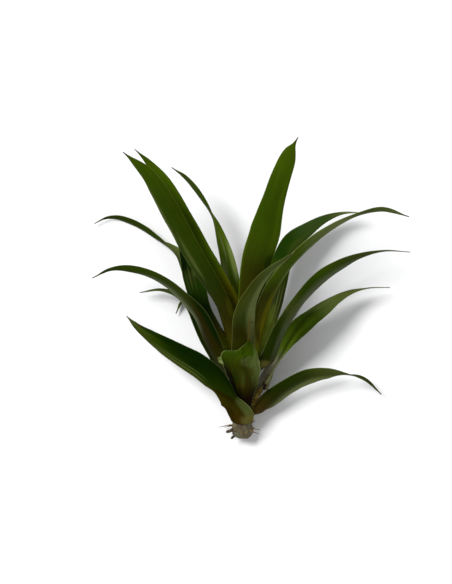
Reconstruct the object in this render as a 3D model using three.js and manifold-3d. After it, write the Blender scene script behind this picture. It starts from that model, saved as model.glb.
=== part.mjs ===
import * as THREE from "three";
import { mergeVertices } from "three/addons/utils/BufferGeometryUtils.js";
import ManifoldModule from "manifold-3d";

// Conchita vriesea, picked, lying on its side. Millimetres, +Z up, +Y from the torn foot to the leaf tips.

const STEM_FOOT = [0, -3, 6.3];
const STEM_TILT_DEG = 20;
const STEM_LENGTH = 66;
const STEM_RADIUS = 7.0;
const STEM_TOP_RADIUS = 4.4;
const STEM_SIDES = 24;

// Broken root stubs beside the foot: height on the stem, azimuth, length past the stem, radius, lean.
const ROOT_STUBS = [
  [3.6, -62, 3.6, 1.5, -0.35],
  [0.6, -84, 4.4, 1.3, -0.2],
  [-1.6, -58, 2.6, 1.2, -0.5],
  [2.2, -108, 2.4, 1.1, 0.1],
  [1.4, 118, 1.8, 1.2, -0.3],
];

const FIRST_INSERTION = 8;
const INSERTION_STEP = 2.95;
const SHEATH_CLEARANCE = 0.85;

const LEAF_THICKNESS = 0.65;
const LEAF_STATIONS = 19;
const LEAF_STRIPS = 6;
const BLADE_BLEND = 14;

// Leaf courses are written as they look from straight above, from this point, at the scale of VIEW_LEVEL.
const EYE = [-11, 90, 1000];
const VIEW_LEVEL = 40;

// Middle of the whole plant's outline on the surface, which becomes x = 0, y = 0.
const PLAN_CENTRE = [5.2, 88.5];

// Each leaf: azimuth round the stem (0 faces up, 90 to the right), insertion order from the foot,
// sheath length and flare, widths at the start and end of the sheath, then blade rows of
// [x, y, height, width, roll in degrees, cupping in degrees] from the sheath to the tip. Where a leaf
// has an ease, its sections follow the rib's course over that many millimetres each way.
const LEAVES = [
  {
    name: "leaf_01",
    azimuth: -24,
    order: 1,
    sheath: 8,
    flare: 0.44,
    widths: [24.6, 25.2],
    blade: [
      [-9.4, 19.4, 30.6, 12.6, 190, 84],
      [-14.1, 28, 36.2, 13.6, 190, 74],
      [-21, 35.2, 38.5, 16.9, 192, 60],
      [-30.3, 42.3, 37, 16.8, 194, 52],
      [-40, 48, 33, 15.3, 196, 46],
      [-49.8, 54, 28, 12.8, 196, 42],
      [-59.7, 60.7, 22.5, 8.8, 196, 38],
      [-68.4, 67.1, 18.5, 4.8, 196, 30],
      [-75.7, 74.4, 15, 1.1, 196, 10],
    ],
  },
  {
    name: "leaf_02",
    azimuth: 88,
    order: 2,
    sheath: 4,
    flare: 0.4,
    widths: [9.2, 12.4],
    blade: [
      [10.9, 11.2, 12.2, 16.5, 121, 104],
      [13.8, 13.7, 13.8, 18.6, 131, 96],
      [20.5, 19.6, 16.2, 19.2, 135, 84],
      [30.2, 27.2, 18.3, 16.4, 138, 68],
      [42.9, 33.9, 19, 14.2, 141, 56],
      [55.1, 36.2, 18, 10.6, 137, 50],
      [68, 36.2, 15, 5, 100, 40],
      [78.2, 33.7, 12, 4, 55, 30],
      [90, 23.5, 7, 1, 50, 10],
    ],
  },
  {
    name: "leaf_03",
    azimuth: 165,
    order: 3,
    sheath: 20,
    flare: 0.4,
    widths: [12, 15],
    blade: [
      [5, 58, 2.6, 15, 5, 45],
      [10, 82, 1.6, 14, 0, 35],
      [13, 104, 0.29, 11, 0, 14],
      [15.5, 122, 0.29, 8, 0, 12],
      [17, 140, 0.5, 1.2, 0, 10],
    ],
  },
  {
    name: "leaf_04",
    azimuth: 0,
    order: 4,
    ease: 10,
    sheath: 12,
    flare: 0.31,
    widths: [10.6, 16],
    blade: [
      [0.7, 30, 32.5, 21.8, 180, 95],
      [0.4, 37, 37, 24.6, 180, 80],
      [-1.8, 44.7, 41, 26.9, 180, 68],
      [-1, 47.1, 42, 24.8, 180, 62],
      [2.7, 49, 42.9, 15.6, 180, 50],
      [4.4, 53, 44.6, 9.4, 180, 35],
      [4, 59.2, 47, 1.6, 180, 10],
    ],
  },
  {
    name: "leaf_05",
    azimuth: -105,
    order: 5,
    sheath: 12,
    flare: 0.4,
    widths: [12, 13],
    blade: [
      [-19.5, 46, 13.8, 12, 300, 70],
      [-26, 58, 13.6, 12.4, 298, 62],
      [-31, 68.8, 13.2, 11, 298, 56],
      [-36.4, 80.6, 13, 8.2, 298, 52],
      [-43.1, 87.8, 12, 6.8, 302, 46],
      [-53, 91.2, 10, 3.6, 302, 40],
      [-67, 89.7, 8, 1, 300, 10],
    ],
  },
  {
    name: "leaf_06",
    azimuth: 98,
    order: 6,
    sheath: 7,
    flare: 0.5,
    widths: [12, 13],
    blade: [
      [16.2, 32.8, 16.3, 16, 68, 95],
      [20.1, 40.7, 17.2, 15.2, 69, 92],
      [25.1, 48.3, 18.2, 15.8, 68, 86],
      [30.6, 56.8, 19, 18.2, 60, 70],
      [37.2, 65.2, 20, 18.8, 50, 58],
      [44.6, 72, 21, 15.8, 46, 52],
      [53, 78.7, 21, 13, 45, 48],
      [61.4, 85, 20, 8.8, 48, 44],
      [70.5, 89.7, 18, 5.8, 58, 40],
      [81, 92.4, 16, 3, 80, 30],
      [95.5, 93, 13, 0.9, 90, 10],
    ],
  },
  {
    name: "leaf_07",
    azimuth: -156,
    order: 7,
    sheath: 14,
    flare: 0.36,
    widths: [10.5, 12.5],
    blade: [
      [-17.5, 60, 5, 10, 335, 55],
      [-23.5, 74, 2.9, 8.5, 335, 50],
      [-29.5, 84.5, 2.3, 6.5, 322, 48],
      [-35.5, 87.3, 3, 5, 306, 45],
      [-40, 83, 3, 3.6, 302, 40],
      [-43.5, 76, 3, 0.9, 300, 10],
    ],
  },
  {
    name: "leaf_08",
    azimuth: -60,
    order: 8,
    sheath: 16,
    flare: 0.4,
    widths: [12, 14],
    blade: [
      [-19.2, 52.5, 30, 15.8, 230, 80],
      [-23.9, 63.6, 34, 16.2, 230, 72],
      [-29.4, 74.9, 37, 14.4, 230, 64],
      [-39.2, 85.7, 39, 11.8, 233, 58],
      [-49.3, 94.7, 39, 10.2, 234, 55],
      [-60.7, 101.1, 37, 8.8, 234, 50],
      [-73.1, 104.5, 34, 7.6, 232, 45],
      [-85.9, 104.5, 30, 4, 238, 40],
      [-98, 99, 26, 0.9, 240, 10],
    ],
  },
  {
    name: "leaf_09",
    azimuth: 72,
    order: 9,
    sheath: 12,
    flare: 0.4,
    widths: [13, 15],
    blade: [
      [17.3, 45, 26, 16, 130, 85],
      [20.2, 52, 28, 16, 131, 78],
      [24, 62, 30, 15.4, 128, 70],
      [30.6, 73.6, 32, 15.2, 126, 62],
      [39, 85.5, 33.5, 14.6, 126, 58],
      [50.1, 97.4, 34, 15, 128, 55],
      [62, 106, 34, 12.2, 128, 50],
      [76.1, 112.9, 32, 7.4, 120, 45],
      [92, 116.6, 29, 3.4, 104, 40],
      [108.5, 116, 25, 1, 90, 10],
    ],
  },
  {
    name: "leaf_10",
    azimuth: -145,
    order: 10,
    sheath: 16,
    flare: 0.4,
    widths: [12, 13],
    blade: [
      [-17.5, 64, 10, 10, 330, 52],
      [-25.5, 79, 7.5, 10, 332, 50],
      [-30.3, 90.9, 6, 10.6, 332, 50],
      [-35.9, 103.4, 5, 11.2, 324, 54],
      [-41.6, 113.7, 4.4, 10.4, 308, 68],
      [-48.5, 119.2, 4.8, 9.8, 284, 96],
      [-56.1, 124.6, 4, 8.4, 254, 70],
      [-64.4, 130.9, 3.2, 7.2, 238, 46],
      [-74.1, 135.9, 3, 6.2, 234, 40],
      [-82, 138.3, 3, 4.5, 234, 36],
      [-89, 138, 3.1, 2.7, 236, 30],
      [-96.5, 134.5, 3.1, 0.9, 240, 10],
    ],
  },
  {
    name: "leaf_11",
    azimuth: 140,
    order: 11,
    sheath: 15,
    flare: 0.4,
    widths: [12, 15.4],
    blade: [
      [14.2, 66, 15, 17.4, 35, 60],
      [18.7, 80, 17, 16.4, 30, 52],
      [22.5, 95, 18, 15.5, 28, 50],
      [26, 109.2, 18, 15.4, 28, 48],
      [32.1, 122, 17, 14.6, 30, 45],
      [42.7, 130.6, 16, 11.2, 35, 42],
      [54.5, 137.7, 15, 7.1, 45, 38],
      [66, 141.2, 14, 4.2, 65, 30],
      [79, 141.6, 13, 1, 80, 10],
    ],
  },
  {
    name: "leaf_12",
    azimuth: -115,
    order: 12,
    sheath: 14,
    flare: 0.4,
    widths: [12, 13],
    blade: [
      [-21, 65.7, 19, 12.8, 325, 60],
      [-27.1, 78.9, 19.5, 13.3, 335, 54],
      [-30.6, 91, 19.5, 14.2, 340, 48],
      [-33.7, 102.9, 19, 13.6, 342, 44],
      [-36.4, 115, 18, 11, 342, 40],
      [-39.7, 126, 16, 7.4, 342, 30],
      [-44, 137, 14, 1, 342, 10],
    ],
  },
  {
    name: "leaf_13",
    azimuth: -2,
    order: 13,
    sheath: 14,
    flare: 0.4,
    widths: [12, 15],
    blade: [
      [0.5, 62, 43, 16, 174, 84],
      [1, 71, 49, 15.5, 166, 74],
      [3, 80.5, 54, 14, 152, 66],
      [7, 89, 57, 12, 140, 60],
      [12, 97, 59, 10.3, 132, 55],
      [18.5, 104, 60, 8, 126, 48],
      [26, 110, 61, 5, 124, 40],
      [35, 117, 61, 1, 122, 10],
    ],
  },
  {
    name: "leaf_14",
    azimuth: 65,
    order: 14,
    sheath: 13,
    flare: 0.38,
    widths: [12, 14],
    blade: [
      [11, 66, 37, 14.5, 135, 78],
      [14.5, 79, 42, 15, 130, 66],
      [21, 94, 46, 15, 125, 60],
      [31, 108, 48.5, 13.5, 120, 55],
      [44, 121, 50, 11.5, 120, 50],
      [58, 131.5, 50, 9, 115, 46],
      [74, 139.7, 48, 6, 108, 42],
      [90, 143.5, 45, 5, 125, 36],
      [108, 139, 41, 1, 130, 10],
    ],
  },
  {
    name: "leaf_15",
    azimuth: -165,
    order: 15,
    sheath: 13,
    flare: 0.36,
    widths: [11, 12],
    blade: [
      [-3.5, 78, 18, 11.5, 352, 60],
      [-7, 92, 21, 12, 352, 56],
      [-9, 104, 23.5, 11.3, 350, 52],
      [-10.8, 113, 25.5, 10, 346, 50],
      [-13.3, 121.5, 27.5, 8.4, 336, 48],
      [-15.8, 128.6, 29, 7.6, 318, 56],
      [-18.1, 134, 30, 7.6, 298, 74],
      [-20.6, 139.7, 31, 7.4, 275, 86],
      [-26.2, 149.4, 32.5, 7.4, 250, 62],
      [-31.6, 157.5, 33.5, 6.4, 240, 40],
      [-38.4, 165.2, 34, 4.3, 237, 28],
      [-46.3, 171, 34, 0.9, 235, 10],
    ],
  },
  {
    name: "leaf_16",
    azimuth: -35,
    order: 16,
    sheath: 11,
    flare: 0.36,
    widths: [11, 12.5],
    blade: [
      [-10.2, 70, 40, 12.5, 216, 85],
      [-14.4, 82.5, 46, 13, 216, 80],
      [-19, 90.9, 50, 13.2, 214, 72],
      [-23.6, 99, 54, 13.2, 210, 64],
      [-30, 109.3, 59, 13.8, 208, 58],
      [-36.3, 120.3, 63.5, 14.1, 207, 54],
      [-42.1, 131.4, 67.5, 14, 207, 50],
      [-48.8, 144.3, 72, 13.8, 206, 46],
      [-55.9, 156.9, 76, 11.8, 206, 42],
      [-63.3, 167.9, 79, 8.7, 206, 34],
      [-70, 174.2, 80.5, 4.9, 206, 20],
      [-78, 181, 81.5, 0.9, 206, 10],
    ],
  },
  {
    name: "leaf_17",
    azimuth: -90,
    order: 17,
    sheath: 9,
    flare: 0.3,
    widths: [10, 11],
    blade: [
      [-6, 72, 29.5, 11.5, 234, 72],
      [-8, 84, 35, 11.5, 228, 66],
      [-13, 94, 40, 12, 224, 60],
      [-19.2, 104.2, 45, 12.8, 222, 56],
      [-24.7, 112.4, 48.5, 13.8, 220, 54],
      [-33.2, 127.5, 54, 14, 217, 50],
      [-39.1, 138.4, 57, 13, 215, 47],
      [-45.8, 151.3, 60, 11.7, 214, 43],
      [-52.9, 164, 62.5, 8.2, 212, 38],
      [-58.3, 170.6, 63.5, 6, 211, 32],
      [-63.8, 176.6, 64, 3.4, 210, 24],
      [-70.5, 183, 64.5, 0.9, 210, 10],
    ],
  },
  {
    name: "leaf_18",
    azimuth: 5,
    order: 18,
    sheath: 7,
    flare: 0.2,
    widths: [9, 11],
    blade: [
      [2, 71, 40, 14, 176, 84],
      [4, 82, 44, 15.5, 178, 72],
      [5.5, 91, 48, 17, 179, 62],
      [7.5, 104, 53.5, 19, 180, 54],
      [9.8, 114, 58.5, 20.2, 181, 50],
      [13.8, 127, 65, 20.2, 182, 48],
      [17.1, 139.9, 71, 17, 182, 45],
      [20.4, 151.4, 76, 14.2, 182, 42],
      [24.4, 164, 81.5, 12.8, 182, 38],
      [28.4, 174.9, 86, 11, 182, 34],
      [31, 181.9, 88.5, 7.2, 182, 26],
      [33.4, 186.3, 90, 3.2, 182, 15],
      [35.9, 190.8, 91.5, 1, 182, 10],
    ],
  },
  {
    name: "leaf_19",
    azimuth: 130,
    order: 19,
    sheath: 6,
    flare: 0.2,
    widths: [8, 8],
    blade: [
      [7, 84, 25, 8.5, 60, 110],
      [9.5, 102, 32, 7, 70, 100],
      [12, 120, 40, 1, 80, 20],
    ],
  },
];

const radians = THREE.MathUtils.degToRad;
const axis = new THREE.Vector3(0, Math.cos(radians(STEM_TILT_DEG)), Math.sin(radians(STEM_TILT_DEG)));
const side = new THREE.Vector3(1, 0, 0);
const front = side.clone().cross(axis);
const up = new THREE.Vector3(0, 0, 1);

function axisPoint(height) {
  return new THREE.Vector3(...STEM_FOOT).addScaledVector(axis, height);
}

function outward(azimuth) {
  const angle = radians(azimuth);
  return front.clone().multiplyScalar(Math.cos(angle)).addScaledVector(side, Math.sin(angle));
}

function stemRadius(height) {
  return STEM_RADIUS + ((STEM_TOP_RADIUS - STEM_RADIUS) * height) / STEM_LENGTH;
}

// A point of the view, moved along its line of sight to its own height.
function placed([x, y, z]) {
  const reach = (EYE[2] - z) / (EYE[2] - VIEW_LEVEL);
  return [EYE[0] + (x - EYE[0]) * reach, EYE[1] + (y - EYE[1]) * reach, z];
}

// Rows of the whole leaf: three on the flaring sheath, then the blade's.
function leafRows(leaf) {
  const start = FIRST_INSERTION + INSERTION_STEP * (leaf.order - 1);
  const sheath = [0, 0.5, 1].map((part) => {
    const run = leaf.sheath * part;
    const radius = stemRadius(start) + SHEATH_CLEARANCE + leaf.flare * run;
    const width = leaf.widths[0] + (leaf.widths[1] - leaf.widths[0]) * part;
    const at = axisPoint(start + run).addScaledVector(outward(leaf.azimuth), radius);
    return [at.x, at.y, at.z, width, 180 - leaf.azimuth, THREE.MathUtils.radToDeg(width / radius)];
  });
  const blade = leaf.blade.map((row) => [...placed(row), ...row.slice(3)]);
  return [...sheath, ...blade];
}

// Cubic curve through the rows by the distance along the rib; the last three columns never overshoot.
function curveThrough(rows) {
  const at = [0];
  for (let i = 1; i < rows.length; i += 1) {
    const [a, b] = [rows[i - 1], rows[i]];
    at.push(at[i - 1] + Math.hypot(b[0] - a[0], b[1] - a[1], b[2] - a[2]));
  }
  const slope = (i, c) => (rows[i + 1][c] - rows[i][c]) / (at[i + 1] - at[i]);
  const tangent = (i, c) => {
    if (i === 0) return slope(0, c);
    if (i === rows.length - 1) return slope(i - 1, c);
    const before = slope(i - 1, c);
    const after = slope(i, c);
    if (c > 2) return before * after > 0 ? (2 * before * after) / (before + after) : 0;
    const [stepIn, stepOut] = [at[i] - at[i - 1], at[i + 1] - at[i]];
    return (before * stepOut + after * stepIn) / (stepIn + stepOut);
  };
  const tangents = rows.map((row, i) => row.map((value, c) => tangent(i, c)));
  const value = (distance) => {
    let i = 0;
    while (i < rows.length - 2 && distance > at[i + 1]) i += 1;
    const step = at[i + 1] - at[i];
    const t = Math.min(Math.max((distance - at[i]) / step, 0), 1);
    const [t2, t3] = [t * t, t * t * t];
    return rows[i].map(
      (y, c) =>
        y * (2 * t3 - 3 * t2 + 1) +
        step * tangents[i][c] * (t3 - 2 * t2 + t) +
        rows[i + 1][c] * (3 * t2 - 2 * t3) +
        step * tangents[i + 1][c] * (t3 - t2),
    );
  };
  return { length: at[at.length - 1], value };
}

// Cross-sections of a leaf: rib point, direction across, direction of the upper face, width and cupping.
function leafSections(leaf) {
  const curve = curveThrough(leafRows(leaf));
  const sections = [];
  for (let i = 0; i < LEAF_STATIONS; i += 1) {
    const distance = (curve.length * i) / (LEAF_STATIONS - 1);
    const [x, y, z, width, roll, cupping] = curve.value(distance);
    const reach = leaf.ease ?? 1;
    const before = curve.value(Math.max(distance - reach, 0));
    const after = curve.value(Math.min(distance + reach, curve.length));
    const along = new THREE.Vector3(after[0] - before[0], after[1] - before[1], after[2] - before[2]);
    const blend = THREE.MathUtils.smoothstep(distance, leaf.sheath * 0.9, leaf.sheath + BLADE_BLEND);
    const facing = axis.clone().lerp(along.normalize(), blend).normalize();
    const across = facing.clone().cross(up).normalize();
    const lift = across.clone().cross(facing);
    const [c, s] = [Math.cos(radians(roll)), Math.sin(radians(roll))];
    sections.push({
      rib: new THREE.Vector3(x, y, z),
      across: across.clone().multiplyScalar(c).addScaledVector(lift, s),
      upper: lift.clone().multiplyScalar(c).addScaledVector(across, -s),
      width,
      bend: radians(cupping),
    });
  }
  return sections;
}

// A point of a section: t runs from -1 to 1 across the blade, face is -1 under and 1 above.
function sectionPoint(section, t, face) {
  const radius = section.width / section.bend;
  const angle = (t * section.bend) / 2;
  const point = section.rib.clone();
  point.addScaledVector(section.across, radius * Math.sin(angle));
  point.addScaledVector(section.upper, radius * (1 - Math.cos(angle)));
  const offset = (face * LEAF_THICKNESS) / 2;
  point.addScaledVector(section.upper, offset * Math.cos(angle));
  point.addScaledVector(section.across, -offset * Math.sin(angle));
  point.z = Math.max(point.z, 0);
  return point;
}

function leafGeometry(leaf) {
  const positions = [];
  const index = [];
  const columns = LEAF_STRIPS + 1;
  const sections = leafSections(leaf);
  for (const face of [-1, 1]) {
    for (const section of sections) {
      for (let j = 0; j < columns; j += 1) {
        const point = sectionPoint(section, (2 * j) / LEAF_STRIPS - 1, face);
        positions.push(point.x - PLAN_CENTRE[0], point.y - PLAN_CENTRE[1], point.z);
      }
    }
  }
  const under = (i, j) => i * columns + j;
  const above = (i, j) => (LEAF_STATIONS + i) * columns + j;
  const quad = (a, b, c, d) => index.push(a, b, c, a, c, d);
  for (let i = 0; i < LEAF_STATIONS - 1; i += 1) {
    for (let j = 0; j < LEAF_STRIPS; j += 1) {
      index.push(above(i, j), above(i, j + 1), above(i + 1, j + 1));
      index.push(above(i, j), above(i + 1, j + 1), above(i + 1, j));
      index.push(under(i, j), under(i + 1, j + 1), under(i, j + 1));
      index.push(under(i, j), under(i + 1, j), under(i + 1, j + 1));
    }
    quad(under(i, 0), above(i, 0), above(i + 1, 0), under(i + 1, 0));
    const edge = LEAF_STRIPS;
    quad(above(i, edge), under(i, edge), under(i + 1, edge), above(i + 1, edge));
  }
  const last = LEAF_STATIONS - 1;
  for (let j = 0; j < LEAF_STRIPS; j += 1) {
    quad(under(0, j), under(0, j + 1), above(0, j + 1), above(0, j));
    quad(above(last, j), above(last, j + 1), under(last, j + 1), under(last, j));
  }
  return closedGeometry(positions, index);
}

function closedGeometry(positions, index) {
  const geometry = new THREE.BufferGeometry();
  geometry.setAttribute("position", new THREE.Float32BufferAttribute(positions, 3));
  geometry.setIndex(index);
  geometry.computeVertexNormals();
  return geometry;
}

// Short stocky stem: a lumpy tapering rod, torn across at the foot, with a flat where it lies.
function stemGeometry() {
  const rings = [
    [-4.6, 3.8],
    [-3.8, 5.9],
    [-1.5, 7.2],
    [2, 7.35],
    [5, stemRadius(5)],
    [STEM_LENGTH * 0.25, stemRadius(STEM_LENGTH * 0.25)],
    [STEM_LENGTH * 0.5, stemRadius(STEM_LENGTH * 0.5)],
    [STEM_LENGTH * 0.8, stemRadius(STEM_LENGTH * 0.8)],
    [STEM_LENGTH * 0.93, stemRadius(STEM_LENGTH * 0.93)],
    [STEM_LENGTH + 1.5, 2.2],
  ];
  const positions = [];
  const index = [];
  const push = (point) => {
    positions.push(point.x - PLAN_CENTRE[0], point.y - PLAN_CENTRE[1], Math.max(point.z, 0));
  };
  for (const [height, radius] of rings) {
    for (let j = 0; j < STEM_SIDES; j += 1) {
      const azimuth = (360 * j) / STEM_SIDES;
      push(axisPoint(height).addScaledVector(outward(azimuth), radius));
    }
  }
  const [foot, top] = [rings.length * STEM_SIDES, rings.length * STEM_SIDES + 1];
  push(axisPoint(rings[0][0] + 0.8));
  push(axisPoint(STEM_LENGTH + 2.1));
  for (let j = 0; j < STEM_SIDES; j += 1) {
    const next = (j + 1) % STEM_SIDES;
    for (let i = 0; i < rings.length - 1; i += 1) {
      const [a, b] = [i * STEM_SIDES, (i + 1) * STEM_SIDES];
      index.push(a + j, a + next, b + next, a + j, b + next, b + j);
    }
    const end = (rings.length - 1) * STEM_SIDES;
    index.push(foot, next, j);
    index.push(top, end + j, end + next);
  }
  return closedGeometry(positions, index);
}

function rootStubGeometry([height, azimuth, length, radius, lean]) {
  const start = stemRadius(height) * 0.6;
  const reach = stemRadius(height) - start + length;
  const geometry = new THREE.CylinderGeometry(radius * 0.55, radius, reach, 8);
  geometry.translate(0, reach / 2, 0);
  const direction = outward(azimuth).addScaledVector(axis, lean).normalize();
  geometry.applyQuaternion(new THREE.Quaternion().setFromUnitVectors(new THREE.Vector3(0, 1, 0), direction));
  const foot = axisPoint(height).addScaledVector(outward(azimuth), start);
  geometry.translate(foot.x - PLAN_CENTRE[0], foot.y - PLAN_CENTRE[1], foot.z);
  return geometry;
}

// Joins closed geometries into one closed body.
function joined(geometries) {
  const solids = geometries.map((geometry) => {
    const bare = geometry.clone();
    bare.deleteAttribute("normal");
    bare.deleteAttribute("uv");
    const whole = mergeVertices(bare, 1e-4);
    const vertProperties = Float32Array.from(whole.attributes.position.array);
    const triVerts = Uint32Array.from(whole.index.array);
    return new manifold.Manifold(new manifold.Mesh({ numProp: 3, vertProperties, triVerts }));
  });
  const mesh = manifold.Manifold.union(solids).getMesh();
  return closedGeometry(Array.from(mesh.vertProperties), Array.from(mesh.triVerts));
}

function material(name, colour) {
  return new THREE.MeshStandardMaterial({ name, color: colour, roughness: 0.5 });
}

const manifold = await ManifoldModule();
manifold.setup();

const plant = new THREE.Group();
plant.name = "conchita_vriesea";

const stemParts = [stemGeometry(), ...ROOT_STUBS.map(rootStubGeometry)];
const stem = new THREE.Mesh(joined(stemParts), material("stem", 0x6b5b3f));
stem.name = "stem";
plant.add(stem);

for (const leaf of LEAVES) {
  const blade = new THREE.Mesh(leafGeometry(leaf), material(leaf.name, 0x3f5a1e));
  blade.name = leaf.name;
  plant.add(blade);
}

export default plant;
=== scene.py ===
import math
import random

import bmesh
import bpy
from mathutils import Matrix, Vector, noise


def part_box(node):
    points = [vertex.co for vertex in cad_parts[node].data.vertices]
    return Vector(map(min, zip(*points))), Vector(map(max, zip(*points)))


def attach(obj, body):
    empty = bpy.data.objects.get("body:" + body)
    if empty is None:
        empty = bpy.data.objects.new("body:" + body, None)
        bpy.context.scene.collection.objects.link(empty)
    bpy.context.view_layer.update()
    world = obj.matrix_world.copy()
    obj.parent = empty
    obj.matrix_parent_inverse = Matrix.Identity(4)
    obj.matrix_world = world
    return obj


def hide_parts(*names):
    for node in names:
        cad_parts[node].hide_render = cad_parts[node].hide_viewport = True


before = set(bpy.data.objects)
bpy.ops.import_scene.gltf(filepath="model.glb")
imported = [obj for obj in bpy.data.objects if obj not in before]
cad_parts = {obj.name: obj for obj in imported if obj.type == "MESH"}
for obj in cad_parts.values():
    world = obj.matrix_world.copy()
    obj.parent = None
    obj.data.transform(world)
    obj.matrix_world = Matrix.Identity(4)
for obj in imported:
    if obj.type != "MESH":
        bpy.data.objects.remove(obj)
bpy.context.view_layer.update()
print("frame loaded")

mm = 0.001

# The leaf courses are in millimetres as they look from the camera, with the stem's foot at 0, 0.
stemSettings = {
    "foot": (0, -3, 6.3),
    "tilt": 20,
    "length": 66,
    "radius": 7.0,
    "topRadius": 4.4,
    "firstInsertion": 8,
    "insertionStep": 2.95,
    "sheathClearance": 0.85,
    "planCentre": (5.2, 88.5),
}

viewSettings = {
    "eye": (-11, 90, 1000),
    "level": 40,            # height at which the courses are at full scale
    "frameHeight": 379.6,   # millimetres that the picture's height covers at that level
    "sensor": 36.0,
    "farClip": 10,
}

bladeSettings = {
    "stations": 132,
    "strips": 26,
    "thickness": 0.52,
    "marginThickness": 0.35,  # share of the thickness at the margins
    "marginFrom": 0.72,       # where the thinning to the margins starts, as a share of half the width
    "bladeBlend": 14,
    "leaveFrom": 0.9,         # share of the sheath at which that blend starts
    "ease": 1,                # run before and behind a station that gives its direction
    "tipFrom": 0.93,          # the last stretch runs out finer than the solid's
    "tipFining": 0.55,
    "aboveFloor": 0.02,
}

tilt = math.radians(stemSettings["tilt"])
stemAxis = Vector((0, math.cos(tilt), math.sin(tilt)))
stemSide = Vector((1, 0, 0))
stemFront = stemSide.cross(stemAxis)
upright = Vector((0, 0, 1))
planCentre = Vector((*stemSettings["planCentre"], 0))


def smoothStep(low, high, x):
    t = min(max((x - low) / (high - low), 0.0), 1.0)
    return t * t * (3 - 2 * t)


def axisPoint(height):
    return Vector(stemSettings["foot"]) + stemAxis * height


def outward(azimuth):
    angle = math.radians(azimuth)
    return stemFront * math.cos(angle) + stemSide * math.sin(angle)


def stemRadius(height):
    taper = (stemSettings["topRadius"] - stemSettings["radius"]) / stemSettings["length"]
    return stemSettings["radius"] + taper * height


def placed(x, y, z):
    # along the line of sight to the row's own height
    eye = viewSettings["eye"]
    reach = (eye[2] - z) / (eye[2] - viewSettings["level"])
    return eye[0] + (x - eye[0]) * reach, eye[1] + (y - eye[1]) * reach, z


def addPiece(name, mesh, node=None):
    for polygon in mesh.polygons:
        polygon.use_smooth = True
    piece = bpy.data.objects.new(name, mesh)
    bpy.context.scene.collection.objects.link(piece)
    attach(piece, "root")
    if node:
        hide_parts(node)
    return piece


def meshFrom(bm, name):
    mesh = bpy.data.meshes.new(name)
    bm.to_mesh(mesh)
    bm.free()
    return mesh


def leafRows(leaf):
    start = stemSettings["firstInsertion"] + stemSettings["insertionStep"] * (leaf["order"] - 1)
    rows = []
    for part in (0, 0.5, 1):
        run = leaf["sheath"] * part
        radius = stemRadius(start) + stemSettings["sheathClearance"] + leaf["flare"] * run
        width = leaf["widths"][0] + (leaf["widths"][1] - leaf["widths"][0]) * part
        at = axisPoint(start + run) + outward(leaf["azimuth"]) * radius
        rows.append((*at, width, 180 - leaf["azimuth"], math.degrees(width / radius)))
    rows += [(*placed(*row[:3]), *row[3:]) for row in leaf["rows"]]
    return rows


def curveThrough(rows):
    # cubic through the rows by the distance along the rib; width, roll and cupping never overshoot
    at = [0.0]
    for a, b in zip(rows, rows[1:]):
        at.append(at[-1] + math.dist(a[:3], b[:3]))
    last = len(rows) - 1

    def slope(i, c):
        return (rows[i + 1][c] - rows[i][c]) / (at[i + 1] - at[i])

    def tangent(i, c):
        if i == 0:
            return slope(0, c)
        if i == last:
            return slope(last - 1, c)
        before, after = slope(i - 1, c), slope(i, c)
        if c > 2:
            return 2 * before * after / (before + after) if before * after > 0 else 0.0
        stepIn, stepOut = at[i] - at[i - 1], at[i + 1] - at[i]
        return (before * stepOut + after * stepIn) / (stepIn + stepOut)

    tangents = [[tangent(i, c) for c in range(6)] for i in range(last + 1)]

    def value(distance):
        i = 0
        while i < last - 1 and distance > at[i + 1]:
            i += 1
        step = at[i + 1] - at[i]
        t = min(max((distance - at[i]) / step, 0.0), 1.0)
        t2, t3 = t * t, t * t * t
        return [
            rows[i][c] * (2 * t3 - 3 * t2 + 1)
            + step * tangents[i][c] * (t3 - 2 * t2 + t)
            + rows[i + 1][c] * (3 * t2 - 2 * t3)
            + step * tangents[i + 1][c] * (t3 - t2)
            for c in range(6)
        ]

    return at[-1], value


def leafSection(leaf, length, value, distance):
    x, y, z, width, roll, cupping = value(distance)
    ease = leaf.get("ease", bladeSettings["ease"])
    before = Vector(value(max(distance - ease, 0))[:3])
    after = Vector(value(min(distance + ease, length))[:3])
    sheathEnd = leaf["sheath"]
    leaving = sheathEnd * bladeSettings["leaveFrom"]
    blend = smoothStep(leaving, sheathEnd + bladeSettings["bladeBlend"], distance)
    facing = stemAxis.lerp((after - before).normalized(), blend).normalized()
    across = facing.cross(upright).normalized()
    lift = across.cross(facing)
    c, s = math.cos(math.radians(roll)), math.sin(math.radians(roll))
    fine = 1 - bladeSettings["tipFining"] * smoothStep(bladeSettings["tipFrom"], 1, distance / length)
    return {
        "rib": Vector((x, y, z)),
        "across": across * c + lift * s,
        "upper": lift * c - across * s,
        "width": width * fine,
        "bend": math.radians(cupping) * fine,
    }


def sectionPoint(section, t, lift):
    radius = section["width"] / section["bend"]
    angle = t * section["bend"] / 2
    point = section["rib"] + section["across"] * (radius * math.sin(angle))
    point += section["upper"] * (radius * (1 - math.cos(angle)))
    point += (section["upper"] * math.cos(angle) - section["across"] * math.sin(angle)) * lift
    return point


# depths in millimetres towards the upper face; t runs from -1 to 1 across, s from 0 to 1 along the blade
reliefSettings = {
    "keel": 0.06,
    "keelReach": 0.16,
    "keelRise": (0.1, 0.3),
    "wave": 0.3,
    "waveCounts": (1.1, 6),
    "ripple": 0.28,
    "rippleCounts": (2, 17),
    "rippleShift": 9,
    "opening": (0.16, 0.34),
    "seedStep": 7.3,
    "wholeFrom": 12,    # width from which a blade has its whole relief
}


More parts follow.
